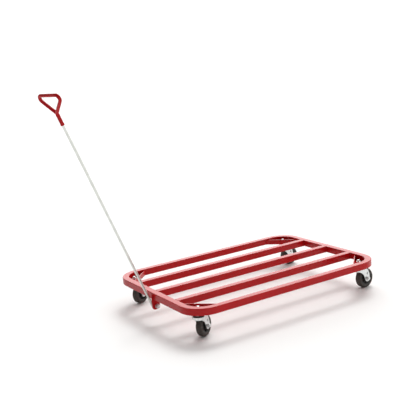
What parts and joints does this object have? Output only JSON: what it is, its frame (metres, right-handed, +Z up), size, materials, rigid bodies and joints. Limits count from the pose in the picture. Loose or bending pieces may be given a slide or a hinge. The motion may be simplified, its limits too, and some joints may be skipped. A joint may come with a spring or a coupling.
{
  "type": "platform dolly with pull handle",
  "caption": "Flat slatted steel-tube dolly: rounded square-tube ring with inner bars, corner brackets, swivel casters and a hinged rod handle with a triangular grip.",
  "frame": {"origin": "middle of the deck's top face, on top of the centre bar", "axes": "+X along the deck from the handle end to the far end, +Y across it, +Z up"},
  "size_m": [1.1832, 0.6, 0.8634],
  "materials": {
    "red_powder_coat": "gloss powder coat",
    "zinc_plate": "bright zinc plate",
    "bearing_steel": "polished",
    "black_hub": "moulded",
    "tread_rubber": "dark brown-black rubber",
    "bright_rod": "zinc plated drawn rod",
    "red_vinyl": "dipped soft vinyl"
  },
  "bodies": {
    "frame": {"perimeter_rail": "red_powder_coat", "deck_bar_left": "red_powder_coat", "deck_bar_center": "red_powder_coat", "deck_bar_right": "red_powder_coat", "front_left_bracket": "red_powder_coat", "front_left_caster_stem": "zinc_plate", "front_left_stem_lock_washer": "zinc_plate", "front_left_stem_nut": "zinc_plate", "rear_left_bracket": "red_powder_coat", "rear_left_caster_stem": "zinc_plate", "rear_left_stem_lock_washer": "zinc_plate", "rear_left_stem_nut": "zinc_plate", "front_right_bracket": "red_powder_coat", "front_right_caster_stem": "zinc_plate", "front_right_stem_lock_washer": "zinc_plate", "front_right_stem_nut": "zinc_plate", "rear_right_bracket": "red_powder_coat", "rear_right_caster_stem": "zinc_plate", "rear_right_stem_lock_washer": "zinc_plate", "rear_right_stem_nut": "zinc_plate", "hitch_plate": "red_powder_coat"},
    "hitch_pivot": {"pivot_bolt": "zinc_plate", "pivot_nut": "zinc_plate", "pivot_washers": "zinc_plate"},
    "handle": {"pull_rod": "bright_rod", "grip_loop": "bright_rod", "grip_cover": "red_vinyl"},
    "front_left_swivel": {"front_left_swivel_balls": "bearing_steel", "front_left_fork": "zinc_plate", "front_left_axle_bolt": "zinc_plate", "front_left_axle_nut": "zinc_plate", "front_left_axle_bush": "zinc_plate"},
    "front_left_wheel": {"front_left_wheel_hub": "black_hub", "front_left_wheel_tyre": "tread_rubber"},
    "rear_left_swivel": {"rear_left_swivel_balls": "bearing_steel", "rear_left_fork": "zinc_plate", "rear_left_axle_bolt": "zinc_plate", "rear_left_axle_nut": "zinc_plate", "rear_left_axle_bush": "zinc_plate"},
    "rear_left_wheel": {"rear_left_wheel_hub": "black_hub", "rear_left_wheel_tyre": "tread_rubber"},
    "front_right_swivel": {"front_right_swivel_balls": "bearing_steel", "front_right_fork": "zinc_plate", "front_right_axle_bolt": "zinc_plate", "front_right_axle_nut": "zinc_plate", "front_right_axle_bush": "zinc_plate"},
    "front_right_wheel": {"front_right_wheel_hub": "black_hub", "front_right_wheel_tyre": "tread_rubber"},
    "rear_right_swivel": {"rear_right_swivel_balls": "bearing_steel", "rear_right_fork": "zinc_plate", "rear_right_axle_bolt": "zinc_plate", "rear_right_axle_nut": "zinc_plate", "rear_right_axle_bush": "zinc_plate"},
    "rear_right_wheel": {"rear_right_wheel_hub": "black_hub", "rear_right_wheel_tyre": "tread_rubber"}
  },
  "joints": [
    {"name": "front_left_swivel_turn", "type": "hinge", "parent": "frame", "child": "front_left_swivel", "pos_m": [-0.3635, -0.2385, -0.04], "axis": [0, 0, 1], "continuous": true},
    {"name": "front_left_wheel_spin", "type": "hinge", "parent": "front_left_swivel", "child": "front_left_wheel", "pos_m": [-0.34036, -0.22459, -0.08255], "axis": [-0.515, 0.8572, 0], "continuous": true},
    {"name": "rear_left_swivel_turn", "type": "hinge", "parent": "frame", "child": "rear_left_swivel", "pos_m": [0.3585, -0.237, -0.04], "axis": [0, 0, 1], "continuous": true},
    {"name": "rear_left_wheel_spin", "type": "hinge", "parent": "rear_left_swivel", "child": "rear_left_wheel", "pos_m": [0.3854, -0.23465, -0.08255], "axis": [-0.0872, 0.9962, 0], "continuous": true},
    {"name": "front_right_swivel_turn", "type": "hinge", "parent": "frame", "child": "front_right_swivel", "pos_m": [-0.3635, 0.2385, -0.04], "axis": [0, 0, 1], "continuous": true},
    {"name": "front_right_wheel_spin", "type": "hinge", "parent": "front_right_swivel", "child": "front_right_wheel", "pos_m": [-0.33903, 0.24991, -0.08255], "axis": [-0.4226, 0.9063, 0], "continuous": true},
    {"name": "rear_right_swivel_turn", "type": "hinge", "parent": "frame", "child": "rear_right_swivel", "pos_m": [0.3585, 0.237, -0.04], "axis": [0, 0, 1], "continuous": true},
    {"name": "rear_right_wheel_spin", "type": "hinge", "parent": "rear_right_swivel", "child": "rear_right_wheel", "pos_m": [0.38546, 0.23559, -0.08255], "axis": [0.0523, 0.9986, 0], "continuous": true},
    {"name": "handle_pitch", "type": "hinge", "parent": "frame", "child": "hitch_pivot", "pos_m": [-0.404, 0, -0.0515], "axis": [0, 1, 0], "range_deg": [-69, 5]},
    {"name": "handle_sway", "type": "hinge", "parent": "hitch_pivot", "child": "handle", "pos_m": [-0.404, 0, -0.0515], "axis": [0, 0, 1], "range_deg": [-32, 0]}
  ]
}
